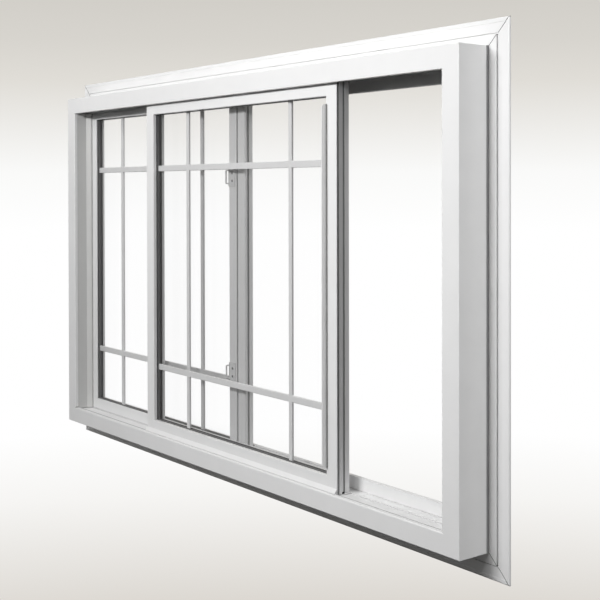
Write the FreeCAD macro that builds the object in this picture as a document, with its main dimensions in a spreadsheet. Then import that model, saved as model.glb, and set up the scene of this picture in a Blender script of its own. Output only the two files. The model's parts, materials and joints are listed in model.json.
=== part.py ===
import FreeCAD, Part
import os

import Sketcher

os.makedirs("parts", exist_ok=True)
doc = FreeCAD.newDocument("SlidingWindow")

# The driving dimensions, in millimetres. Each row of the sheet is a size, its alias and what it is.
sheet = doc.addObject("Spreadsheet::Sheet", "Sizes")


class Measure:
    """A length that knows its value now and the sheet expression it comes from."""

    def __init__(self, value, text):
        self.value = float(value)
        self.text = text

    def joined(self, sign, other, value):
        return Measure(value, "(%s %s %s)" % (self.text, sign, measure(other).text))

    def __add__(self, other):
        return self.joined("+", other, self.value + measure(other).value)

    def __sub__(self, other):
        return self.joined("-", other, self.value - measure(other).value)

    def __mul__(self, factor):
        return self.joined("*", factor, self.value * measure(factor).value)

    def __truediv__(self, factor):
        return self.joined("/", factor, self.value / measure(factor).value)

    def __neg__(self):
        return Measure(-self.value, "(0 - %s)" % self.text)


def measure(number):
    """Any plain number as a measure."""
    return number if isinstance(number, Measure) else Measure(number, repr(float(number)))


sheetRows = []


def size(alias, value, note):
    """Write one driving dimension into the sheet and give it back as a measure."""
    row = len(sheetRows) + 1
    sheetRows.append(alias)
    sheet.set("A%d" % row, note)
    sheet.set("B%d" % row, repr(float(value)))
    sheet.setAlias("B%d" % row, alias)
    return Measure(value, "Sizes.%s" % alias)


zero = measure(0)

# Box frame
netWidth = size("netWidth", 1690, "outside width of the box frame")
netHeight = size("netHeight", 1000, "outside height of the box frame")
faceWidth = size("faceWidth", 47, "inside face of head and jambs")
sillFace = size("sillFace", 44.5, "inside face of the sill")
lipDepth = size("lipDepth", 9, "thickness of the room side lip")
pocketDepth = size("pocketDepth", 14, "depth of the sash channels in head and jambs")
sillStep = size("sillStep", 4.5, "drop from the sill lip to the sill tracks")
trackGrooveStart = size("trackGrooveStart", 10.5, "sill lip to the groove in its track")
trackGroove = size("trackGroove", 3, "width and depth of the groove in the sill track")
dividerWall = size("dividerWall", 2.4, "thickness of the divider between the tracks")
sillDivider = size("sillDivider", 1.5, "divider above the sill track")
stopWall = size("stopWall", 11.4, "thickness of the outer stop")
stopRise = size("stopRise", 19, "outer stop beyond the lips of head and jambs")
sillStopRise = size("sillStopRise", 25, "outer stop above the sill lip")
edgeRadius = size("edgeRadius", 1.5, "rounding of the outside corners")
lipRadius = size("lipRadius", 2, "rounding of the lip of head and jambs towards the opening")
sillRadius = size("sillRadius", 4, "rounding of the sill lip")

# Trim flange around the outside
flangeReach = size("flangeReach", 52.5, "flange beyond the box frame")
flangeDrop = size("flangeDrop", 8.5, "wall face of the flange to the outside face of the frame")
padWidth = size("padWidth", 20.5, "width of the flat wall face beside the frame")
grooveWidth = size("grooveWidth", 3, "groove between wall face and outer band")
grooveDepth = size("grooveDepth", 4.5, "groove depth from the wall face")
bandStep = size("bandStep", 1.5, "outer band behind the wall face")
noseWidth = size("noseWidth", 9, "rolled outer edge of the flange")
noseRise = size("noseRise", 0.8, "rolled edge in front of the outer band")
noseRadius = size("noseRadius", 3, "rounding of the outer edge")
edgeDepth = size("edgeDepth", 4, "thickness of the flange at its edge")

# Sliding sash, on the room side track
sashWidth = size("sashWidth", 836.5, "width of the sliding sash")
sashLeft = size("sashLeft", 466, "left end of the frame to the sash as it stands")
sashMember = size("sashMember", 37, "face width of sash rails and stiles")
sashDepth = size("sashDepth", 35.6, "thickness of the sliding sash")
sashPlay = size("sashPlay", 5, "lip of the frame to the sash face")
trackPlay = size("trackPlay", 1, "back of the sliding sash to the divider")
runGap = size("runGap", 1.6, "sash above the sill track, bridged by its glides")
skirtReach = size("skirtReach", 7.5, "skirt of the bottom rail in front of the sash face")
skirtRise = size("skirtRise", 10, "skirt above the sill lip where it meets the sash face")
skirtEdge = size("skirtEdge", 1.2, "thickness of the skirt at its edge")
headGap = size("headGap", 4, "sash below the floor of the head channel")
beadDepth = size("beadDepth", 9.5, "room side bead in front of the glass")
rebateDepth = size("rebateDepth", 12, "glass rebate in rails and stiles")
sealSlotWidth = size("sealSlotWidth", 5.2, "width of the seal slots on the outer edges")
sealSlotDepth = size("sealSlotDepth", 5, "depth of the seal slots")
frontSlot = size("frontSlot", 2, "sash face to the first seal slot")
rearSlot = size("rearSlot", 18, "sash face to the second seal slot")

# Fixed panel, on the outer track
panelPlay = size("panelPlay", 1, "divider to the panel face")
stopPlay = size("stopPlay", 0.6, "back of the panel to the outer stop")
panelDepth = size("panelDepth", 26, "thickness of the fixed panel")
panelLeft = size("panelLeft", 52, "left end of the frame to the fixed panel")
panelRight = size("panelRight", 852, "left end of the frame to the end of the fixed panel")
panelMember = size("panelMember", 33, "face width of the rails and stiles of the fixed panel")
panelBead = size("panelBead", 4, "room side bead of the fixed panel")
interlockWidth = size("interlockWidth", 39, "width of the meeting post beside the panel")
interlockDepth = size("interlockDepth", 24, "thickness of the meeting post")
postRecess = size("postRecess", 2, "face of the meeting post behind its bead")
postBeadStart = size("postBeadStart", 2.5, "edge of the meeting post to its bead")
postBead = size("postBead", 10, "width of the bead on the meeting post")
postNotch = size("postNotch", 4, "shadow groove between panel and meeting post")
postSlotStart = size("postSlotStart", 7, "panel face to the seal slot of the meeting post")

# Glass units and grilles
paneThickness = size("paneThickness", 3, "each pane")
airGap = size("airGap", 11.5, "space between the panes")
glassPlay = size("glassPlay", 2, "glass edge to the floor of its rebate")
spacerSight = size("spacerSight", 0.6, "spacer above the sash edge")
barWidth = size("barWidth", 16, "height of the level grille bars")
uprightWidth = size("uprightWidth", 13, "width of the upright grille bars")
barThickness = size("barThickness", 6, "thickness of the grille bars")
barInset = size("barInset", 151, "sight line of a sash to the middle of a level bar")
sashBarSide = size("sashBarSide", 154, "sight line of the sliding sash to the middle of an upright bar")
panelBarSide = size("panelBarSide", 146.5, "sight line of the fixed panel to the middle of an upright bar")

# Pull rail, keepers and glides
pullReach = size("pullReach", 13.5, "pull rail in front of the sash face")
pullWall = size("pullWall", 4, "thickness of the pull rail at its belly")
pullTip = size("pullTip", 2.2, "thickness of the pull rail at its tip")
pullLean = size("pullLean", 3.2, "tip of the pull rail set back from its belly")
pullFoot = size("pullFoot", 8, "foot of the pull rail on the stile")
pullSet = size("pullSet", 31.5, "edge of the stile to the belly of the pull rail")
pullEndGap = size("pullEndGap", 55, "end of the pull rail to the end of the stile")
pullEndRadius = size("pullEndRadius", 9, "rounding of the ends of the pull rail")
keeperHeight = size("keeperHeight", 48, "height of a keeper plate")
keeperWidth = size("keeperWidth", 28, "width of a keeper plate")
keeperPlate = size("keeperPlate", 2, "thickness of a keeper plate")
loopReach = size("loopReach", 10, "keeper loop in front of its plate")
loopHeight = size("loopHeight", 36, "height of the keeper loop")
loopWidth = size("loopWidth", 4, "width of the keeper loop")
loopWall = size("loopWall", 2.6, "thickness of the keeper loop")
loopRadius = size("loopRadius", 4, "outer rounding of the keeper loop")
screwHole = size("screwHole", 5, "width of a screw hole")
screwSpread = size("screwSpread", 20, "distance between the screws of a keeper")
keeperInset = size("keeperInset", 250, "frame end to the middle of a keeper")
glideLength = size("glideLength", 46, "length of a glide")
glideWidth = size("glideWidth", 15, "width of a glide")
coverNose = size("coverNose", 12, "nose of the jamb cover beyond the lip")
coverFlat = size("coverFlat", 30, "lip of the frame to the nose of the jamb cover")
coverRadius = size("coverRadius", 3.5, "rounding of the nose of the jamb cover")
glideRadius = size("glideRadius", 6, "rounded ends of a glide")
glideNose = size("glideNose", 3, "end of a glide beyond the end of the sash")
fitGap = size("fitGap", 0.3, "clearance of pieces that slide into each other")

doc.recompute()

# Depths that follow from one another, from the room side lip to the outside face
sashSetback = lipDepth + sashPlay
dividerStart = sashSetback + sashDepth + trackPlay
rearTrack = dividerStart + dividerWall
panelSetback = rearTrack + panelPlay
stopStart = panelSetback + panelDepth + stopPlay
frameDepth = stopStart + stopWall
wallFace = frameDepth - flangeDrop

# The origin lies on the wall face of the flange, under the middle of the sill.
shiftX = -netWidth / 2
shiftY = -wallFace
shiftZ = padWidth / 2

pieces = []


def bind(thing, field, length):
    """Tie a property of an object to a measure."""
    thing.setExpression(field, length.text)


def originPlane(body, role):
    """The plane of a body with this role."""
    return [plane for plane in body.Origin.OriginFeatures if plane.Role == role][0]


def drawLoop(sketch, points):
    """Draw a closed outline of straight lines, every corner held by the sheet."""
    first = sketch.GeometryCount
    count = len(points)
    corners = [FreeCAD.Vector(across.value, up.value, 0) for across, up in points]
    for index in range(count):
        sketch.addGeometry(Part.LineSegment(corners[index], corners[(index + 1) % count]), False)
    for index in range(count):
        following = first + (index + 1) % count
        sketch.addConstraint(Sketcher.Constraint("Coincident", first + index, 2, following, 1))
    for index, (across, up) in enumerate(points):
        for kind, length in (("DistanceX", across), ("DistanceY", up)):
            place = Sketcher.Constraint(kind, -1, 1, first + index, 1, length.value)
            number = sketch.addConstraint(place)
            name = "corner%d%s" % (first + index, kind[-1])
            sketch.renameConstraint(number, name)
            bind(sketch, "Constraints." + name, length)


def newSketch(body, name, role):
    """A sketch on one of the body's own planes."""
    sketch = body.newObject("Sketcher::SketchObject", name)
    sketch.AttachmentSupport = [(originPlane(body, role), "")]
    sketch.MapMode = "FlatFace"
    return sketch


def newBody(label):
    """An empty body that becomes one piece of the window."""
    body = doc.addObject("PartDesign::Body", label)
    body.Label = label
    pieces.append(body)
    return body


def place(thing, across, deep, up, turn=0):
    """Set a piece down from the lower left room side corner of the box frame."""
    thing.Placement = FreeCAD.Placement(FreeCAD.Vector(), FreeCAD.Rotation(FreeCAD.Vector(0, 1, 0), turn))
    bind(thing, "Placement.Base.x", across + shiftX)
    bind(thing, "Placement.Base.y", deep + shiftY)
    bind(thing, "Placement.Base.z", up + shiftZ)


def drawCircle(sketch, across, up, width):
    """Draw a circle whose place and diameter are held by the sheet."""
    number = sketch.addGeometry(Part.Circle(FreeCAD.Vector(across.value, up.value, 0),
                                            FreeCAD.Vector(0, 0, 1), width.value / 2), False)
    for kind, length in (("DistanceX", across), ("DistanceY", up)):
        held = sketch.addConstraint(Sketcher.Constraint(kind, -1, 1, number, 3, length.value))
        name = "centre%d%s" % (number, kind[-1])
        sketch.renameConstraint(held, name)
        bind(sketch, "Constraints." + name, length)
    held = sketch.addConstraint(Sketcher.Constraint("Diameter", number, width.value))
    sketch.renameConstraint(held, "width%d" % number)
    bind(sketch, "Constraints.width%d" % number, width)


def edgesWhere(shape, test):
    """Names of the edges whose two ends both pass a test."""
    names = []
    for number, edge in enumerate(shape.Edges, 1):
        ends = [vertex.Point for vertex in edge.Vertexes]
        if len(ends) == 2 and all(test(end) for end in ends):
            names.append("Edge%d" % number)
    return names


def longEdges(shape, corners):
    """Names of the edges along X that stand on these profile corners."""
    names = []
    for deep, inward in corners:
        names += edgesWhere(shape, lambda end: abs(end.y - deep.value) + abs(end.z - inward.value) < 0.001)
    return names


def near(value, length):
    """Whether a coordinate lies at this measure."""
    return abs(value - length.value) < 0.001


def rounding(body, name, radius, edges):
    """Round some edges of a body with a radius from the sheet."""
    bar = body.Tip
    fillet = body.newObject("PartDesign::Fillet", "%s_%s" % (body.Label, name))
    fillet.Base = (bar, edges)
    bind(fillet, "Radius", radius)
    doc.recompute()


def extrusion(label, profile, length, rounded=()):
    """A bar along X with this profile, given as depth and height, and these corners rounded."""
    body = newBody(label)
    sketch = newSketch(body, label + "_profile", "YZ_Plane")
    drawLoop(sketch, profile)
    pad = body.newObject("PartDesign::Pad", label + "_bar")
    pad.Profile = sketch
    bind(pad, "Length", length)
    doc.recompute()
    for number, (radius, corners) in enumerate(rounded):
        rounding(body, "round%d" % number, radius, longEdges(body.Tip.Shape, corners))
    return body


def mitre(body, length, height):
    """Cut both ends of a bar at 45 degrees, so that it is shorter on its inner side."""
    spare = measure(5)
    sketch = newSketch(body, body.Label + "_mitres", "XZ_Plane")
    drawLoop(sketch, [(-spare, -spare), (height + spare, height + spare), (-spare, height + spare)])
    far = length + spare
    drawLoop(sketch, [(far, -spare), (far, height + spare), (length - height - spare, height + spare)])
    pocket = body.newObject("PartDesign::Pocket", body.Label + "_ends")
    pocket.Profile = sketch
    pocket.Type = "ThroughAll"
    pocket.Midplane = True
    doc.recompute()


def sideBar(label, side, profile, box, height, rounded=()):
    """One mitred side of a rectangular ring. The profile runs from the outer edge inwards."""
    left, low, wide, tall, deep = box
    length = wide if side in ("low", "top") else tall
    body = extrusion(label, profile, length, rounded)
    mitre(body, length, height)
    if side == "low":
        place(body, left, deep, low)
    elif side == "top":
        place(body, left + wide, deep, low + tall, 180)
    elif side == "left":
        place(body, left, deep, low + tall, 90)
    else:
        place(body, left + wide, deep, low, -90)
    return body


# Box frame: head and jambs share a profile with two sash channels, the sill has shallow tracks.
def frameProfile(face, floor, divider, stop, track=()):
    """Outline of a frame member, depth against height from its outer edge."""
    return [
        (zero, zero),
        (frameDepth, zero),
        (frameDepth, stop),
        (stopStart, stop),
        (stopStart, floor),
        (rearTrack, floor),
        (rearTrack, divider),
        (dividerStart, divider),
        (dividerStart, floor),
        *track,
        (lipDepth, floor),
        (lipDepth, face),
        (zero, face),
    ]


channelFloor = faceWidth - pocketDepth
stopHeight = faceWidth + stopRise
channelProfile = frameProfile(faceWidth, channelFloor, faceWidth, stopHeight)
trackFloor = sillFace - sillStep
sillStop = sillFace + sillStopRise
grooveNear = lipDepth + trackGrooveStart
grooveFloor = trackFloor - trackGroove
sillTrack = [
    (grooveNear + trackGroove, trackFloor),
    (grooveNear + trackGroove, grooveFloor),
    (grooveNear, grooveFloor),
    (grooveNear, trackFloor),
]
sillProfile = frameProfile(sillFace, trackFloor, trackFloor + sillDivider, sillStop, sillTrack)
frameBox = (zero, zero, netWidth, netHeight, zero)
tallest = sillStop


def frameSide(label, side, profile, lip, face, stop):
    """One side of the box frame with its rounded arrises."""
    arrises = [(edgeRadius, [(zero, zero)]), (lip, [(zero, face)]), (edgeRadius, [(frameDepth, stop)])]
    sideBar(label, side, profile, frameBox, tallest, arrises)


frameSide("frame_head", "top", channelProfile, lipRadius, faceWidth, stopHeight)
frameSide("frame_sill", "low", sillProfile, sillRadius, sillFace, sillStop)
frameSide("frame_left_jamb", "left", channelProfile, lipRadius, faceWidth, stopHeight)
frameSide("frame_right_jamb", "right", channelProfile, lipRadius, faceWidth, stopHeight)

# Trim flange: a stepped section that tapers towards a rolled edge.
bandFace = wallFace + bandStep
grooveFace = wallFace + grooveDepth
padEdge = flangeReach - padWidth
grooveEdge = padEdge - grooveWidth
noseFace = bandFace - noseRise
flangeProfile = [
    (noseFace, zero),
    (bandFace + edgeDepth, zero),
    (frameDepth, padEdge),
    (frameDepth, flangeReach),
    (wallFace, flangeReach),
    (wallFace, padEdge),
    (grooveFace, padEdge),
    (grooveFace, grooveEdge),
    (bandFace, grooveEdge),
    (bandFace, noseWidth),
    (noseFace, noseWidth),
]
flangeBox = (-flangeReach, -flangeReach, netWidth + flangeReach * 2, netHeight + flangeReach * 2, zero)
noseCorners = [(noseRadius, [(noseFace, zero)]), (noseRise * 0.8, [(noseFace, noseWidth)])]
for label, side in (("head", "top"), ("sill", "low"), ("left", "left"), ("right", "right")):
    sideBar("flange_" + label, side, flangeProfile, flangeBox, flangeReach, noseCorners)

# Cover that closes the empty room side channel of the left jamb and ends in a rounded nose.
coverBack = dividerStart - fitGap
noseFoot = faceWidth + fitGap
noseTop = faceWidth + coverNose
noseBack = panelSetback - fitGap
coverProfile = [
    (lipDepth + fitGap, channelFloor + fitGap),
    (coverBack, channelFloor + fitGap),
    (coverBack, noseFoot),
    (noseBack, noseFoot),
    (noseBack, noseTop),
    (noseBack - coverRadius * 1.5, noseTop),
    (lipDepth + coverFlat, faceWidth),
    (lipDepth + fitGap, faceWidth),
]
coverRounding = [
    (coverRadius, [(noseBack - coverRadius * 1.5, noseTop)]),
    (coverRadius * 0.4, [(noseBack, noseTop)]),
]
coverLow = trackFloor + sillDivider
coverTop = netHeight - faceWidth
cover = extrusion("left_jamb_cover", coverProfile, coverTop - coverLow, coverRounding)
place(cover, zero, zero, coverTop, 90)


# Sashes: mitred bars with a glass rebate and, outside, two slots for the brush seals.
def sashProfile(member, depth, bead, unit, slots):
    """Outline of a sash bar, depth against height from its outer edge."""
    floor = member - rebateDepth
    outline = [
        (zero, zero),
        (zero, member),
        (bead, member),
        (bead, floor),
        (bead + unit, floor),
        (bead + unit, member),
        (depth, member),
        (depth, zero),
    ]
    for start in reversed(slots):
        outline.append((start + sealSlotWidth, zero))
        outline.append((start + sealSlotWidth, sealSlotDepth))
        outline.append((start, sealSlotDepth))
        outline.append((start, zero))
    return outline


unitDepth = paneThickness * 2 + airGap


def sashBars(names, box, member, depth, bead, slots):
    """The four welded bars of a sash."""
    profile = sashProfile(member, depth, bead, unitDepth, slots)
    arrises = [(edgeRadius, [(zero, zero), (zero, member), (depth, member)])]
    for label, side in names:
        sideBar(label, side, profile, box, member, arrises)


def block(label, wide, deep, high, across, back, up):
    """A plain rectangular piece."""
    piece = doc.addObject("Part::Box", label)
    piece.Label = label
    bind(piece, "Length", wide)
    bind(piece, "Width", deep)
    bind(piece, "Height", high)
    place(piece, across, back, up)
    return piece


def keep(piece):
    """Count a finished shape among the pieces of the window."""
    pieces.append(piece)
    return piece


def ring(label, box, wall, deep, back):
    """A closed rectangular ring of this wall, such as a glass spacer."""
    left, low, wide, tall = box
    outer = block(label + "_outer", wide, deep, tall, left, back, low)
    hole = block(label + "_hole", wide - wall * 2, deep, tall - wall * 2, left + wall, back, low + wall)
    cut = doc.addObject("Part::Cut", label)
    cut.Label = label
    cut.Base = outer
    cut.Tool = hole
    return keep(cut)


def glassUnit(prefix, box, member, front, barSide):
    """Two panes, the spacer between them and the flat grille inside."""
    left, low, wide, tall = box
    inset = member - rebateDepth + glassPlay
    glassLeft = left + inset
    glassLow = low + inset
    glassWide = wide - inset * 2
    glassTall = tall - inset * 2
    rear = front + paneThickness + airGap
    for side, back in (("inner", front), ("outer", rear)):
        keep(block(prefix + "_%s_pane" % side, glassWide, paneThickness, glassTall, glassLeft, back, glassLow))
    wall = member + spacerSight - inset
    edges = (glassLeft, glassLow, glassWide, glassTall)
    ring(prefix + "_spacer", edges, wall, airGap, front + paneThickness)
    innerLeft = glassLeft + wall
    innerLow = glassLow + wall
    innerWide = glassWide - wall * 2
    innerTall = glassTall - wall * 2
    back = front + paneThickness + (airGap - barThickness) / 2
    toUpright = barSide - spacerSight - uprightWidth / 2
    toLevel = barInset - spacerSight - barWidth / 2
    bars = []
    for number, across in enumerate((innerLeft + toUpright, innerLeft + innerWide - toUpright - uprightWidth)):
        name = prefix + "_upright%d" % number
        bars.append(block(name, uprightWidth, barThickness, innerTall, across, back, innerLow))
    for number, up in enumerate((innerLow + toLevel, innerLow + innerTall - toLevel - barWidth)):
        name = prefix + "_crossbar%d" % number
        bars.append(block(name, innerWide, barThickness, barWidth, innerLeft, back, up))
    grille = doc.addObject("Part::MultiFuse", prefix + "_grille")
    grille.Label = prefix + "_grille"
    grille.Shapes = bars
    keep(grille)


# Sliding sash on its glides
sashLow = trackFloor + runGap
sashTall = netHeight - channelFloor - headGap - sashLow
sashBox = (sashLeft, sashLow, sashWidth, sashTall, sashSetback)
sashNames = (
    ("sash_top_rail", "top"),
    ("sash_bottom_rail", "low"),
    ("sash_left_stile", "left"),
    ("sash_pull_stile", "right"),
)
sashBars(sashNames, sashBox, sashMember, sashDepth, beadDepth, (frontSlot, rearSlot))
glassUnit("sash", sashBox[:4], sashMember, sashSetback + beadDepth, sashBarSide)
sashRight = sashLeft + sashWidth

# Skirt of the bottom rail: a slope that comes forward over the sill lip and hides the track.
skirtProfile = [
    (zero, zero),
    (zero, skirtRise),
    (-skirtReach, skirtEdge),
    (-skirtReach, zero),
]
skirt = extrusion("sash_skirt", skirtProfile, sashWidth, [(skirtEdge * 0.8, [(-skirtReach, skirtEdge)])])
place(skirt, sashLeft, sashSetback, sillFace + fitGap)

# Pull rail: a fin along the pull stile that bellies out in the middle, with rounded ends.
pullLength = sashTall - pullEndGap * 2
belly = pullReach * 0.45
pullProfile = [
    (zero, pullWall * 0.4),
    (-belly, zero),
    (-pullReach, pullLean),
    (-pullReach, pullLean + pullTip),
    (-belly, pullWall),
    (zero, pullFoot),
]
pull = extrusion("pull_rail", pullProfile, pullLength, [(pullReach / 2, [(-belly, zero)])])
tips = []
for end in (zero, pullLength):
    tips += edgesWhere(pull.Shape, lambda point: near(point.y, -pullReach) and near(point.x, end))
rounding(pull, "ends", pullEndRadius, tips)
place(pull, sashRight - pullSet, sashSetback, sashLow + pullEndGap, -90)

# Fixed panel and its meeting post
panelLow = trackFloor + fitGap
panelTall = netHeight - channelFloor - fitGap - panelLow
panelWide = panelRight - panelLeft
panelBox = (panelLeft, panelLow, panelWide, panelTall, panelSetback)
panelNames = (
    ("fixed_top_rail", "top"),
    ("fixed_bottom_rail", "low"),
    ("fixed_left_stile", "left"),
    ("fixed_meeting_stile", "right"),
)
sashBars(panelNames, panelBox, panelMember, panelDepth, panelBead, ())
glassUnit("fixed", panelBox[:4], panelMember, panelSetback + panelBead, panelBarSide)

postSlotEnd = postSlotStart + sealSlotWidth
beadEnd = postBeadStart + postBead
notchSide = interlockWidth - postNotch
postProfile = [
    (postRecess, zero),
    (postSlotStart, zero),
    (postSlotStart, sealSlotDepth),
    (postSlotEnd, sealSlotDepth),
    (postSlotEnd, zero),
    (interlockDepth, zero),
    (interlockDepth, interlockWidth),
    (postRecess + postNotch, interlockWidth),
    (postRecess + postNotch, notchSide),
    (postRecess, notchSide),
    (postRecess, beadEnd),
    (zero, beadEnd),
    (zero, postBeadStart),
    (postRecess, postBeadStart),
]
postRounding = [(postRecess * 0.7, [(zero, beadEnd), (zero, postBeadStart), (interlockDepth, zero)])]
post = extrusion("meeting_post", postProfile, panelTall, postRounding)
place(post, panelRight + interlockWidth, panelSetback, panelLow, -90)


# Keepers: a plate screwed to the meeting stile, with a standing D loop that the latch hooks behind.
def keeper(label, middle):
    """One keeper, its plate on the face of the stile and its loop towards the room."""
    body = newBody(label)
    loop = newSketch(body, label + "_loop_outline", "YZ_Plane")
    half = loopHeight / 2
    front = -(keeperPlate + loopReach)
    drawLoop(loop, [(zero, -half), (zero, half), (front, half), (front, -half)])
    inner = half - loopWall
    hollowFront = front + loopWall
    drawLoop(loop, [(-keeperPlate, -inner), (-keeperPlate, inner), (hollowFront, inner), (hollowFront, -inner)])
    bow = body.newObject("PartDesign::Pad", label + "_loop")
    bow.Profile = loop
    bind(bow, "Length", loopWidth)
    doc.recompute()
    rounding(body, "bend", loopRadius, longEdges(body.Tip.Shape, [(front, half), (front, -half)]))
    plate = newSketch(body, label + "_plate_outline", "XZ_Plane")
    low = -keeperHeight / 2
    high = keeperHeight / 2
    drawLoop(plate, [(zero, low), (keeperWidth, low), (keeperWidth, high), (zero, high)])
    for side in (-1, 1):
        drawCircle(plate, keeperWidth * 0.6, screwSpread * side / 2, screwHole)
    pad = body.newObject("PartDesign::Pad", label + "_plate")
    pad.Profile = plate
    bind(pad, "Length", keeperPlate)
    doc.recompute()
    place(body, panelRight - panelMember, panelSetback, middle)


keeper("upper_keeper", netHeight - keeperInset)
keeper("lower_keeper", keeperInset)

# Glides under the sash, just showing at its ends
leftGlide = sashLeft + edgeRadius
rightGlide = sashRight + glideNose - glideLength
for label, across in (("left_glide", leftGlide), ("right_glide", rightGlide)):
    glideProfile = [(zero, zero), (glideWidth, zero), (glideWidth, runGap), (zero, runGap)]
    glide = extrusion(label, glideProfile, glideLength)
    corners = []
    for end in (zero, glideLength):
        for side in (zero, glideWidth):
            corners += edgesWhere(glide.Shape, lambda point: near(point.x, end) and near(point.y, side))
    rounding(glide, "ends", glideRadius, corners)
    place(glide, across, sashSetback + (sashDepth - glideWidth) / 2, trackFloor)

doc.recompute()

for thing in doc.Objects:
    if "Invalid" in thing.State or "Error" in thing.State:
        raise RuntimeError("%s failed: %s" % (thing.Name, thing.State))

volume = 0
for piece in pieces:
    shape = piece.Shape
    if shape.isNull() or not shape.isValid() or len(shape.Solids) < 1:
        raise RuntimeError("no sound solid in " + piece.Label)
    volume += shape.Volume
for piece in pieces:
    piece.Shape.exportStep("parts/%s.step" % piece.Label)
print("%d pieces, %.1f litres" % (len(pieces), volume / 1e6))
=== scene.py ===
import json
import math

import bpy
from mathutils import Matrix, Vector


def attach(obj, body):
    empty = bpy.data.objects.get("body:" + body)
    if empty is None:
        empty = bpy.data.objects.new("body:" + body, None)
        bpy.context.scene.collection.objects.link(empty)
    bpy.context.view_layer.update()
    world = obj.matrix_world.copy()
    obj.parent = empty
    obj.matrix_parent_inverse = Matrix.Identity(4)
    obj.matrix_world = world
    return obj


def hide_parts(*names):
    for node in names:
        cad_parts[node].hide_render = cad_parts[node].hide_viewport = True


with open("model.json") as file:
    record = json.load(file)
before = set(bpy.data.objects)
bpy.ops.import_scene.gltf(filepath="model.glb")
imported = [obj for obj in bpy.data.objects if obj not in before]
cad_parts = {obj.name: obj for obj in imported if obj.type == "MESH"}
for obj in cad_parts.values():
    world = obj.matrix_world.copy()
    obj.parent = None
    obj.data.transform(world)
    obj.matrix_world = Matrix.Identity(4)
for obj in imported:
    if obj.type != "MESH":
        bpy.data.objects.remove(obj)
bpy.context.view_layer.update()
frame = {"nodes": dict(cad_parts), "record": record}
bpy.ops.object.select_all(action="DESELECT")
print("frame loaded:", len(frame["nodes"]), "nodes")

millimetre = 0.001


def toLinear(hexColour):
    # sRGB hex to the linear colour a shader wants
    channels = [int(hexColour[place:place + 2], 16) / 255 for place in (1, 3, 5)]
    linear = [value / 12.92 if value <= 0.04045 else ((value + 0.055) / 1.055) ** 2.4 for value in channels]
    return (linear[0], linear[1], linear[2], 1.0)


def addNode(tree, kind, values=None, links=None, **settings):
    # one node with its settings, its socket values and the sockets that feed it
    # a Mix node of colours has its factor in socket 0, its colours in 6 and 7 and its result in output 2
    node = tree.nodes.new(kind)
    for name, value in settings.items():
        setattr(node, name, value)
    for socket, value in (values or {}).items():
        node.inputs[socket].default_value = value
    for socket, source in (links or {}).items():
        tree.links.new(source, node.inputs[socket])
    return node


def newMaterial(name):
    # a material with only its shader and its output
    material = bpy.data.materials.new(name)
    material.use_nodes = True
    tree = material.node_tree
    tree.nodes.clear()
    shader = addNode(tree, "ShaderNodeBsdfPrincipled")
    output = addNode(tree, "ShaderNodeOutputMaterial", links={"Surface": shader.outputs["BSDF"]})
    return material, tree, shader, output


def nodeBox(name):
    # the low and the high corner of a CAD node
    points = [vertex.co for vertex in frame["nodes"][name].data.vertices]
    low = Vector([min(point[axis] for point in points) for axis in range(3)])
    high = Vector([max(point[axis] for point in points) for axis in range(3)])
    return low, high


# White uPVC, extruded: a satin skin with faint die lines along each bar and a little unevenness
# The die lines hardly change along the bar, and lie further apart than real ones so that they show
vinyl = {
    "colour": "#ECECEC",
    "shade": "#E5E5E5",
    "roughness": 0.34,
    "roughnessSpread": 0.08,
    "ior": 1.53,
    "dieLine": 2.2 * millimetre,
    "changesPerMetre": 0.35,
    "cloud": 60 * millimetre,
    "bump": 0.002,
    "bumpDepth": 0.2 * millimetre,
}

# Painted shade in tight corners: how far off a wall still counts, the tone of the painted shade, and how
# open the place is where the painted shade is full and where there is none of it
paintedCornerShade = {
    "corner": {"reach": 5 * millimetre, "colour": "#A2A2A1", "full": 0.3, "none": 0.75},
    "hollow": {"reach": 16 * millimetre, "colour": "#6E6E6D", "full": 0.3, "none": 0.75},
}

# Hairline joint of the flange at its mitred corners, on the diagonals from the outer corners
flangeLow, flangeHigh = nodeBox("flange_right")
seam = {
    "middle": (flangeLow.z + flangeHigh.z) / 2,
    "offset": flangeHigh.x - (flangeHigh.z - flangeLow.z) / 2,
    "width": 1.0 * millimetre,
    "colour": "#505050",
}


def mitred(tree, skin, place):
    # the skin with the hairline joint at the mitred corners of the flange
    parts = addNode(tree, "ShaderNodeSeparateXYZ", links={0: place.outputs["Object"]})
    across = addNode(tree, "ShaderNodeMath", links={0: parts.outputs[0]}, operation="ABSOLUTE")
    level = addNode(tree, "ShaderNodeMath", {1: seam["middle"]}, {0: parts.outputs[2]}, operation="SUBTRACT")
    upward = addNode(tree, "ShaderNodeMath", links={0: level.outputs[0]}, operation="ABSOLUTE")
    offset = addNode(tree, "ShaderNodeMath", links={0: across.outputs[0], 1: upward.outputs[0]},
                     operation="SUBTRACT")
    share = addNode(tree, "ShaderNodeMath", {1: seam["offset"], 2: seam["width"]}, {0: offset.outputs[0]},
                    operation="COMPARE")
    joint = addNode(tree, "ShaderNodeMix", {7: toLinear(seam["colour"])}, {0: share.outputs[0], 6: skin},
                    data_type="RGBA")
    return joint.outputs[2]


def withCornerShade(tree, skin, cornerShade):
    # the skin with painted shade: greyer in tight corners, where little light comes back
    openness = addNode(tree, "ShaderNodeAmbientOcclusion", {"Distance": cornerShade["reach"]}, samples=6)
    depth = addNode(tree, "ShaderNodeMapRange",
                    {"From Min": cornerShade["full"], "From Max": cornerShade["none"], "To Min": 1.0, "To Max": 0.0},
                    {"Value": openness.outputs["AO"]})
    shaded = addNode(tree, "ShaderNodeMix", {7: toLinear(cornerShade["colour"])}, {0: depth.outputs[0], 6: skin},
                     data_type="RGBA")
    return shaded.outputs[2]


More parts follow.
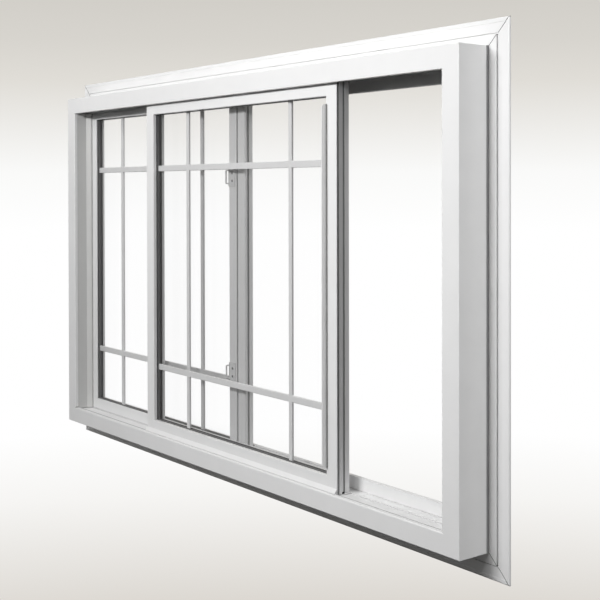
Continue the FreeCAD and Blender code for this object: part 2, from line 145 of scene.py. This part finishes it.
def vinylMaterial(name, axis, colour=None, cornerShade=None):
    # a bar with its die lines along one axis and painted shade in its corners, and a strip of the flange
    # where no corner shade is given
    material, tree, shader, output = newMaterial(name)
    place = addNode(tree, "ShaderNodeTexCoord")
    stretch = [1 / vinyl["dieLine"]] * 3
    stretch["XYZ".index(axis)] = vinyl["changesPerMetre"]
    squeezed = addNode(tree, "ShaderNodeMapping", {"Scale": stretch}, {"Vector": place.outputs["Object"]})
    lines = addNode(tree, "ShaderNodeTexNoise", {"Scale": 1.0, "Detail": 1.0},
                    {"Vector": squeezed.outputs[0]})
    clouds = addNode(tree, "ShaderNodeTexNoise", {"Scale": 1 / vinyl["cloud"], "Detail": 3.0},
                     {"Vector": place.outputs["Object"]})
    tones = {6: toLinear(colour or vinyl["colour"]), 7: toLinear(colour or vinyl["shade"])}
    tint = addNode(tree, "ShaderNodeMix", tones, {0: clouds.outputs["Fac"]}, data_type="RGBA")
    rough = addNode(tree, "ShaderNodeMapRange", {
        "To Min": vinyl["roughness"] - vinyl["roughnessSpread"],
        "To Max": vinyl["roughness"] + vinyl["roughnessSpread"],
    }, {"Value": clouds.outputs["Fac"]})
    bump = addNode(tree, "ShaderNodeBump", {"Strength": vinyl["bump"], "Distance": vinyl["bumpDepth"]},
                   {"Height": lines.outputs["Fac"]})
    skin = withCornerShade(tree, tint.outputs[2], cornerShade) if cornerShade else mitred(tree, tint.outputs[2], place)
    tree.links.new(skin, shader.inputs["Base Color"])
    tree.links.new(rough.outputs[0], shader.inputs["Roughness"])
    tree.links.new(bump.outputs["Normal"], shader.inputs["Normal"])
    shader.inputs["IOR"].default_value = vinyl["ior"]
    return material


# Vinyl bars with painted shade in their tight corners
vinylAlongX = vinylMaterial("vinyl_along_x", "X", cornerShade=paintedCornerShade["corner"])
vinylAlongZ = vinylMaterial("vinyl_along_z", "Z", cornerShade=paintedCornerShade["corner"])
# The cover in the left channel is painted greyer than the bars: painted shade for the dim left reveal
shadedCoverVinyl = vinylMaterial("painted_shade_cover_vinyl", "Z", colour="#C8C8C7", cornerShade=paintedCornerShade["corner"])
# Painted shade on the pull rail, which is hollow for the fingers: darker, and reaching further than in other
# corners
railVinyl = vinylMaterial("vinyl_pull_rail", "Z", cornerShade=paintedCornerShade["hollow"])
flangeAlongX = vinylMaterial("mitred_vinyl_along_x", "X")
flangeAlongZ = vinylMaterial("mitred_vinyl_along_z", "Z")

# Clear float glass: thin panes that show mostly a faint reflection
glass = {"ior": 1.5, "tint": "#FFFFFF", "dim": "#EDEDED", "roughness": 0.0, "shine": 0.3}


def glassMaterial():
    # see-through, with part of the mirror image on the outer side of each face and a slightly dim shadow
    material, tree, shader, output = newMaterial("clear_float_glass")
    ray = addNode(tree, "ShaderNodeLightPath")
    tint = addNode(tree, "ShaderNodeMix", {6: toLinear(glass["tint"]), 7: toLinear(glass["dim"])},
                   {0: ray.outputs["Is Shadow Ray"]}, data_type="RGBA")
    clear = addNode(tree, "ShaderNodeBsdfTransparent", links={"Color": tint.outputs[2]})
    shine = addNode(tree, "ShaderNodeBsdfGlossy", {"Roughness": glass["roughness"]})
    fresnel = addNode(tree, "ShaderNodeFresnel", {"IOR": glass["ior"]})
    side = addNode(tree, "ShaderNodeNewGeometry")
    outer = addNode(tree, "ShaderNodeMath", {0: glass["shine"]}, {1: side.outputs["Backfacing"]},
                    operation="SUBTRACT")
    part = addNode(tree, "ShaderNodeMath", links={0: fresnel.outputs[0], 1: outer.outputs[0]},
                   operation="MULTIPLY", use_clamp=True)
    mixed = addNode(tree, "ShaderNodeMixShader",
                    links={0: part.outputs[0], 1: clear.outputs[0], 2: shine.outputs[0]})
    tree.nodes.remove(shader)
    tree.links.new(mixed.outputs[0], output.inputs["Surface"])
    return material


clearGlass = glassMaterial()

# Foam spacer of a glass unit, grey on the room side and darker behind, with the change inside its depth
spacer = {
    "front": "#6E6E6F",
    "sash": "#2A2A2B",
    "fixed": "#525253",
    "roughness": 0.75,
    "from": 0.45,
    "to": 0.65,
}


def spacerMaterial(unit):
    low, high = nodeBox(unit + "_spacer")
    material, tree, shader, output = newMaterial(unit + "_foam_spacer")
    place = addNode(tree, "ShaderNodeTexCoord")
    parts = addNode(tree, "ShaderNodeSeparateXYZ", links={0: place.outputs["Object"]})
    depth = addNode(tree, "ShaderNodeMapRange", {
        "From Min": low.y + spacer["from"] * (high.y - low.y),
        "From Max": low.y + spacer["to"] * (high.y - low.y),
    }, {"Value": parts.outputs[1]})
    tint = addNode(tree, "ShaderNodeMix", {6: toLinear(spacer["front"]), 7: toLinear(spacer[unit])},
                   {0: depth.outputs[0]}, data_type="RGBA")
    tree.links.new(tint.outputs[2], shader.inputs["Base Color"])
    shader.inputs["Roughness"].default_value = spacer["roughness"]
    return material


# Plain finishes: two close tones in a mottle of a given size, and a slightly uneven gloss; the last two are
# painted shade and painted shadow
plain = {
    # Roll-formed aluminium with baked white enamel, a little duller than the vinyl
    "painted_aluminium_bar": {"colour": "#F0F0F0", "shade": "#E9E9E9", "roughness": 0.4,
                              "mottle": 25 * millimetre},
    # Die-cast zinc under white paint, about as glossy as the vinyl and a little greyer
    "painted_zinc": {"colour": "#E2E2E2", "shade": "#D8D8D8", "roughness": 0.35, "mottle": 6 * millimetre},
    # Zinc-plated steel screws, a dull grey metal
    "zinc_plated_steel": {"colour": "#8E8E8F", "shade": "#7C7C7E", "roughness": 0.38,
                          "mottle": 2 * millimetre, "metallic": 0.8},
    # Pile weatherstrip, a dense grey felt that looks darker than the vinyl round it
    "grey_pile": {"colour": "#BDBDBD", "shade": "#A9A9A9", "roughness": 0.95, "mottle": 1 * millimetre},
    # Moulded nylon, greyer and duller than the vinyl
    "white_nylon": {"colour": "#D9D9D9", "shade": "#CECECE", "roughness": 0.5, "mottle": 4 * millimetre},
    # Painted shade: a grey, matt tone for the band in the corner between the frame and the flange
    "painted_corner_shade": {"colour": "#969697", "shade": "#8A8A8B", "roughness": 0.9, "mottle": 2 * millimetre},
    # Painted shadow: a near-black tone for the thin strip at the foot of the pull stile
    "painted_foot_shadow": {"colour": "#2A2A2A", "shade": "#242424", "roughness": 0.9, "mottle": 2 * millimetre},
}
glossSpread = 0.06


def plainMaterial(name):
    finish = plain[name]
    material, tree, shader, output = newMaterial(name)
    place = addNode(tree, "ShaderNodeTexCoord")
    mottle = addNode(tree, "ShaderNodeTexNoise", {"Scale": 1 / finish["mottle"], "Detail": 2.0},
                     {"Vector": place.outputs["Object"]})
    tint = addNode(tree, "ShaderNodeMix", {6: toLinear(finish["colour"]), 7: toLinear(finish["shade"])},
                   {0: mottle.outputs["Fac"]}, data_type="RGBA")
    rough = addNode(tree, "ShaderNodeMapRange", {
        "To Min": finish["roughness"] - glossSpread,
        "To Max": finish["roughness"] + glossSpread,
    }, {"Value": mottle.outputs["Fac"]})
    tree.links.new(tint.outputs[2], shader.inputs["Base Color"])
    tree.links.new(rough.outputs[0], shader.inputs["Roughness"])
    shader.inputs["Metallic"].default_value = finish.get("metallic", 0.0)
    return material


whiteBars = plainMaterial("painted_aluminium_bar")
paintedZinc = plainMaterial("painted_zinc")
platedSteel = plainMaterial("zinc_plated_steel")
greyPile = plainMaterial("grey_pile")
whiteNylon = plainMaterial("white_nylon")
shadeBandPaint = plainMaterial("painted_corner_shade")
footShadowPaint = plainMaterial("painted_foot_shadow")

uprights = ("frame_left_jamb", "frame_right_jamb", "flange_left", "flange_right", "sash_left_stile",
            "sash_pull_stile", "fixed_left_stile", "fixed_meeting_stile", "meeting_post")
ownFinish = {"left_jamb_cover": shadedCoverVinyl, "pull_rail": railVinyl, "sash_spacer": spacerMaterial("sash"),
             "fixed_spacer": spacerMaterial("fixed")}
slotFinish = {"clear_glass": clearGlass, "white_grille": whiteBars, "white_zinc": paintedZinc,
              "white_nylon": whiteNylon}
slotOf = {part["node"]: part["material_slot"] for part in frame["record"]["subparts"]}


def finishOf(name):
    # what a solid is made of, and for vinyl which way its die lines run
    if name in ownFinish:
        return ownFinish[name]
    if slotOf[name] in slotFinish:
        return slotFinish[slotOf[name]]
    if name.startswith("flange"):
        return flangeAlongZ if name in uprights else flangeAlongX
    return vinylAlongZ if name in uprights else vinylAlongX


for name, node in frame["nodes"].items():
    node.data.materials.clear()
    node.data.materials.append(finishOf(name))
print("materials set")


def placed(piece, name):
    # a new primitive, named, with its place moved into its mesh
    piece.name = name
    bpy.ops.object.transform_apply(location=True, rotation=True, scale=True)
    return piece


def solidBox(name, low, high):
    # a box between two corners
    low, high = Vector(low), Vector(high)
    bpy.ops.mesh.primitive_cube_add(size=1, location=(low + high) / 2, scale=high - low)
    return placed(bpy.context.object, name)


def applied(piece, kind, **settings):
    # one modifier, set and applied
    modifier = piece.modifiers.new(kind.lower(), kind)
    for name, value in settings.items():
        setattr(modifier, name, value)
    bpy.context.view_layer.objects.active = piece
    bpy.ops.object.modifier_apply(modifier=modifier.name)


def combined(piece, other, operation):
    # the piece united with another one or cut by it, and the other one removed
    applied(piece, "BOOLEAN", operation=operation, object=other, solver="EXACT")
    bpy.data.objects.remove(other, do_unlink=True)


def rounded(piece, width, segments=2):
    applied(piece, "BEVEL", width=width, segments=segments, limit_method="ANGLE")


def finished(piece, material):
    piece.data.materials.clear()
    piece.data.materials.append(material)
    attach(piece, "root")
    piece.select_set(False)


# Screws of the keepers: pan heads with a cross recess, in the two holes of each plate
screw = {
    "head": 3.4 * millimetre,
    "foot": 2.04 * millimetre,
    "facets": 28,
    "rise": 0.5 * millimetre,
    "sunk": 1.6 * millimetre,
    "round": 0.4 * millimetre,
    "cross": 4.2 * millimetre,
    "slot": 1.1 * millimetre,
    "slotFloor": 0.5 * millimetre,
    "cutter": 2.5 * millimetre,
    "plate": 2 * millimetre,
    "fromEdge": 0.6,
    "spread": 20 * millimetre,
}


def makeScrews(keeper):
    low, high = nodeBox(keeper)
    across = low.x + screw["fromEdge"] * (high.x - low.x)
    face = high.y - screw["plate"]
    slotFloor = face + screw["slotFloor"]
    heads = []
    for side in (-1, 1):
        height = (low.z + high.z) / 2 + side * screw["spread"] / 2
        bpy.ops.mesh.primitive_cone_add(
            vertices=screw["facets"], radius1=screw["head"], radius2=screw["foot"],
            depth=screw["rise"] + screw["sunk"], rotation=(-math.pi / 2, 0, 0),
            location=(across, face + (screw["sunk"] - screw["rise"]) / 2, height))
        head = placed(bpy.context.object, keeper + "_screws")
        rounded(head, screw["round"])
        for long, short in ((screw["cross"], screw["slot"]), (screw["slot"], screw["cross"])):
            cutter = solidBox("cross", (across - long / 2, slotFloor - screw["cutter"], height - short / 2),
                              (across + long / 2, slotFloor, height + short / 2))
            combined(head, cutter, "DIFFERENCE")
        heads.append(head)
    bpy.ops.object.select_all(action="DESELECT")
    for head in heads:
        head.select_set(True)
    bpy.context.view_layer.objects.active = heads[0]
    bpy.ops.object.join()
    finished(heads[0], platedSteel)


for keeper in ("upper_keeper", "lower_keeper"):
    makeScrews(keeper)
print("screws made")

# Pile weatherstrips in the seal slots of the sash stiles and of the meeting post
pile = {
    "width": 5.2 * millimetre,
    "base": 1 * millimetre,
    "fin": 1.6 * millimetre,
    "rise": 4.2 * millimetre,
    "round": 0.4 * millimetre,
    "end": 2 * millimetre,
    "slotDepth": 5 * millimetre,
}
# Which side of the bar its slots are in, and how far behind its front they start
slots = {
    "sash_pull_stile": {"side": 1, "starts": (2 * millimetre, 18 * millimetre)},
    "sash_left_stile": {"side": -1, "starts": (2 * millimetre, 18 * millimetre)},
    "meeting_post": {"side": 1, "starts": (7 * millimetre,)},
}


def makePile(carrier, side, starts):
    # a flat base in each slot, with a fin that stands out of it
    low, high = nodeBox(carrier)
    floor = high.x - pile["slotDepth"] if side > 0 else low.x + pile["slotDepth"]
    bottom, top = low.z + pile["end"], high.z - pile["end"]
    for number, start in enumerate(starts):
        front = low.y + start
        middle = front + pile["width"] / 2
        near, far = sorted((floor, floor + side * pile["base"]))
        strip = solidBox("%s_pile_%d" % (carrier, number), (near, front, bottom),
                         (far, front + pile["width"], top))
        near, far = sorted((floor, floor + side * pile["rise"]))
        fin = solidBox("fin", (near, middle - pile["fin"] / 2, bottom), (far, middle + pile["fin"] / 2, top))
        combined(strip, fin, "UNION")
        rounded(strip, pile["round"])
        finished(strip, greyPile)


for carrier, slot in slots.items():
    makePile(carrier, **slot)

# A grey band round the frame, in the corner between the frame and the flange: painted shade for that corner
shadeBand = {
    "width": 6.5 * millimetre,
    "thickness": 0.5 * millimetre,
    "gap": 0.05 * millimetre,
    "round": 0.2 * millimetre,
}


def makeShadeBand():
    # the flange bears on the wall at Y 0, and the band ends there
    head, sill = nodeBox("frame_head"), nodeBox("frame_sill")
    low = Vector((head[0].x, -shadeBand["width"], sill[0].z))
    high = Vector((head[1].x, 0, head[1].z))
    skin = Vector((shadeBand["thickness"], 0, shadeBand["thickness"]))
    hollow = Vector((shadeBand["gap"], shadeBand["width"], shadeBand["gap"]))
    ring = solidBox("frame_painted_shade_band", low - skin, high + skin)
    combined(ring, solidBox("frame_core", low - hollow, high + hollow), "DIFFERENCE")
    rounded(ring, shadeBand["round"])
    finished(ring, shadeBandPaint)


makeShadeBand()

# Pile strip behind the lip of the sill, which seals against the sash
lipPile = {
    "depth": 2.2 * millimetre,
    "over": 0.9 * millimetre,
    "drop": 4.4 * millimetre,
    "lip": 9 * millimetre,
    "lipGap": 0.3 * millimetre,
    "inset": 48 * millimetre,
    "round": 0.7 * millimetre,
}


def makeLipPile():
    # the top of the lip lies a small gap below the skirt of the sash
    low, high = nodeBox("frame_sill")
    lipTop = nodeBox("sash_skirt")[0].z - lipPile["lipGap"]
    front = low.y + lipPile["lip"]
    strip = solidBox("sill_lip_pile", (low.x + lipPile["inset"], front, lipTop - lipPile["drop"]),
                     (high.x - lipPile["inset"], front + lipPile["depth"], lipTop + lipPile["over"]))
    rounded(strip, lipPile["round"])
    finished(strip, greyPile)


makeLipPile()
print("weatherstrips and tape made")

# Foot of the pull stile: a rounded nylon bumper below the rear seal, and a thin dark strip beside it,
# painted shadow at the foot
bumper = {
    "front": 21 * millimetre,
    "back": 37.5 * millimetre,
    "reach": 4.5 * millimetre,
    "rise": 3.6 * millimetre,
    "round": 1.6 * millimetre,
}
footShadow = {
    "width": 6 * millimetre,
    "bottom": 0.4 * millimetre,
    "top": 4.5 * millimetre,
    "depth": 0.4 * millimetre,
    "round": 0.15 * millimetre,
}


def makeBumper():
    low, high = nodeBox("sash_pull_stile")
    floor = nodeBox("right_glide")[0].z
    foot = solidBox("sash_foot_bumper", (high.x, low.y + bumper["front"], floor),
                    (high.x + bumper["reach"], low.y + bumper["back"], floor + bumper["rise"]))
    bpy.ops.object.mode_set(mode="EDIT")
    bpy.ops.mesh.select_all(action="SELECT")
    bpy.ops.mesh.bevel(offset=bumper["round"], segments=4)
    bpy.ops.object.mode_set(mode="OBJECT")
    finished(foot, whiteNylon)


def makeFootShadow():
    # a strip of painted shadow on the side of the stile; its rear end is at the front of the bumper
    low, high = nodeBox("sash_pull_stile")
    back = low.y + bumper["front"]
    slot = solidBox("sash_painted_foot_shadow", (high.x, back - footShadow["width"], low.z + footShadow["bottom"]),
                    (high.x + footShadow["depth"], back, low.z + footShadow["top"]))
    rounded(slot, footShadow["round"])
    finished(slot, footShadowPaint)


makeBumper()
makeFootShadow()
print("bumper and drain slot made")

# Grilles between the panes: flat roll-formed bars with rounded edges, halved into each other
grille = {
    "upright": 13 * millimetre,
    "level": 16 * millimetre,
    "round": 1.4 * millimetre,
    "sash": {"side": 153.4 * millimetre, "bottom": 146.2 * millimetre, "top": 148.6 * millimetre},
    "fixed": {"side": 145.9 * millimetre, "bottom": 153.6 * millimetre, "top": 155.2 * millimetre},
}


def makeGrille(unit):
    # two upright and two level bars, set in from the ends of the solid grille that they replace
    low, high = nodeBox(unit + "_grille")
    inset = grille[unit]
    bars = []
    half = grille["upright"] / 2
    for middle in (low.x + inset["side"], high.x - inset["side"]):
        bars.append(solidBox("grille_bar", (middle - half, low.y, low.z), (middle + half, high.y, high.z)))
    half = grille["level"] / 2
    for middle in (low.z + inset["bottom"], high.z - inset["top"]):
        bars.append(solidBox("grille_bar", (low.x, low.y, middle - half), (high.x, high.y, middle + half)))
    joined = bars[0]
    joined.name = unit + "_grille_bars"
    for bar in bars[1:]:
        combined(joined, bar, "UNION")
    rounded(joined, grille["round"], segments=3)
    finished(joined, whiteBars)
    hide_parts(unit + "_grille")


for unit in ("sash", "fixed"):
    makeGrille(unit)
print("grille bars made")

# Floor, far enough below that its shadow stays out of the picture
stage = {"floor": -2.2, "width": 6.0, "colour": "#DCD8D2", "dull": "#3A3A39", "roughness": 0.9, "glow": 0.85}


def makeFloor():
    # pale to the camera and dull to the light, so that it throws little of it back on the window
    bpy.ops.mesh.primitive_plane_add(size=stage["width"], location=(0, 0, stage["floor"]))
    floor = placed(bpy.context.object, "floor")
    material, tree, shader, output = newMaterial("pale_floor")
    ray = addNode(tree, "ShaderNodeLightPath")
    tint = addNode(tree, "ShaderNodeMix", {6: toLinear(stage["dull"]), 7: toLinear(stage["colour"])},
                   {0: ray.outputs["Is Camera Ray"]}, data_type="RGBA")
    tree.links.new(tint.outputs[2], shader.inputs["Base Color"])
    shader.inputs["Roughness"].default_value = stage["roughness"]
    pale = addNode(tree, "ShaderNodeEmission", {"Color": toLinear(stage["colour"])})
    share = addNode(tree, "ShaderNodeMath", {1: stage["glow"]}, {0: ray.outputs["Is Camera Ray"]},
                    operation="MULTIPLY")
    mixed = addNode(tree, "ShaderNodeMixShader",
                    links={0: share.outputs[0], 1: shader.outputs[0], 2: pale.outputs[0]})
    tree.links.new(mixed.outputs[0], output.inputs["Surface"])
    floor.data.materials.append(material)


makeFloor()
print("floor made")

# Studio light: a high key and a fill in front, a weak lamp at the left, one level with the right end of the
# frame, one higher up there, a faint rim light from behind it and one from above behind, for the sill
studio = {
    "key": {"place": (0.4, -2.2, 1.65), "aim": (0.35, 0.0, 0.4), "size": (0.9, 0.3), "power": 48},
    "fill": {"place": (1.3, -1.7, 1.4), "aim": (0.8, 0.0, 0.4), "size": (0.6, 0.3), "power": 6},
    "left": {"place": (-0.85, -0.6, 1.45), "aim": (-0.85, 0.0, 1.0), "size": (0.4, 0.3), "power": 1.5},
    "side": {"place": (3.3, 0.04, 0.9), "aim": (0.85, -0.03, 0.5), "size": (0.14, 1.0), "power": 12},
    "corner": {"place": (2.9, 0.3, 1.7), "aim": (0.85, -0.03, 0.75), "size": (0.3, 0.5), "power": 12},
    "rim": {"place": (2.6, 0.9, 0.9), "aim": (0.85, -0.03, 0.5), "size": (0.4, 1.0), "power": 2},
    "back": {"place": (0.2, 0.8, 2.2), "aim": (0.2, 0.0, 0.3), "size": (1.0, 0.4), "power": 6},
}


def softBox(name, place, aim, size, power):
    # a rectangular lamp turned towards its aim
    bpy.ops.object.light_add(type="AREA", location=place)
    lamp = bpy.context.object
    lamp.name = name
    lamp.data.shape = "RECTANGLE"
    lamp.data.size, lamp.data.size_y = size
    lamp.data.energy = power
    toward = Vector(aim) - Vector(place)
    lamp.rotation_euler = toward.to_track_quat("-Z", "Y").to_euler()


for lampName, lampValues in studio.items():
    softBox(lampName + "_light", **lampValues)

# Light from all round, by the height of its direction: weak below, stronger above
surround = {"low": -0.15, "high": 0.6, "ground": 0.006, "sky": 0.24}

# Background by the height of the line of sight, from the bottom of the picture to its top
background = {
    -0.345: "#DCD8D2",
    -0.262: "#F6F5F3",
    -0.210: "#FFFFFF",
    -0.035: "#FFFFFF",
    0.015: "#FAFAF9",
    0.095: "#E0DDD7",
    0.130: "#D7D4CE",
    0.170: "#D1CEC8",
}


def makeWorld():
    # the background is for the camera, for reflections and for what shows through the glass
    world = bpy.data.worlds.new("studio_world")
    bpy.context.scene.world = world
    world.use_nodes = True
    tree = world.node_tree
    tree.nodes.clear()
    place = addNode(tree, "ShaderNodeTexCoord")
    parts = addNode(tree, "ShaderNodeSeparateXYZ", links={0: place.outputs["Generated"]})
    lowest, highest = min(background), max(background)
    height = addNode(tree, "ShaderNodeMapRange", {"From Min": lowest, "From Max": highest},
                     {"Value": parts.outputs[2]})
    tones = addNode(tree, "ShaderNodeValToRGB", links={0: height.outputs[0]})
    ramp = tones.color_ramp
    while len(ramp.elements) > 1:
        ramp.elements.remove(ramp.elements[-1])
    for number, (level, colour) in enumerate(sorted(background.items())):
        spot = (level - lowest) / (highest - lowest)
        stop = ramp.elements[0] if number == 0 else ramp.elements.new(spot)
        stop.position = spot
        stop.color = toLinear(colour)
    seen = addNode(tree, "ShaderNodeBackground", {"Strength": 1.0}, {"Color": tones.outputs[0]})
    lift = addNode(tree, "ShaderNodeMapRange", {
        "From Min": surround["low"], "From Max": surround["high"],
        "To Min": surround["ground"], "To Max": surround["sky"],
    }, {"Value": parts.outputs[2]})
    lit = addNode(tree, "ShaderNodeBackground", {"Color": (1, 1, 1, 1)}, {"Strength": lift.outputs[0]})
    ray = addNode(tree, "ShaderNodeLightPath")
    direct = addNode(tree, "ShaderNodeMath",
                     links={0: ray.outputs["Is Camera Ray"], 1: ray.outputs["Is Glossy Ray"]},
                     operation="MAXIMUM")
    shown = addNode(tree, "ShaderNodeMath",
                    links={0: direct.outputs[0], 1: ray.outputs["Is Transmission Ray"]},
                    operation="MAXIMUM")
    mixed = addNode(tree, "ShaderNodeMixShader",
                    links={0: shown.outputs[0], 1: lit.outputs[0], 2: seen.outputs[0]})
    addNode(tree, "ShaderNodeOutputWorld", links={"Surface": mixed.outputs[0]})


makeWorld()
print("light and background set")

# Camera where the photograph was taken from, upright lines kept upright by the shift
view = {
    "place": (2.3645, -1.6348, 0.7284),
    "turn": 52.49,
    "down": 0.55,
    "roll": -0.11,
    "lens": 67.09,
    "sensor": 36,
    "shift": -0.1665,
    "farthest": 100,
}


def makeCamera():
    bpy.ops.object.camera_add(location=view["place"])
    camera = bpy.context.object
    camera.name = "photo_camera"
    aim = Matrix.Rotation(math.radians(view["turn"]), 4, "Z")
    tilt = Matrix.Rotation(math.radians(90 - view["down"]), 4, "X")
    roll = Matrix.Rotation(math.radians(view["roll"]), 4, "Z")
    camera.matrix_world = Matrix.Translation(view["place"]) @ aim @ tilt @ roll
    camera.data.lens = view["lens"]
    camera.data.sensor_width = view["sensor"]
    camera.data.shift_y = view["shift"]
    camera.data.clip_end = view["farthest"]
    bpy.context.scene.camera = camera


makeCamera()
bpy.context.scene.view_settings.view_transform = "Standard"
bpy.context.scene.cycles.transparent_max_bounces = 32  # enough for every face of glass in one line of sight
print("camera set")
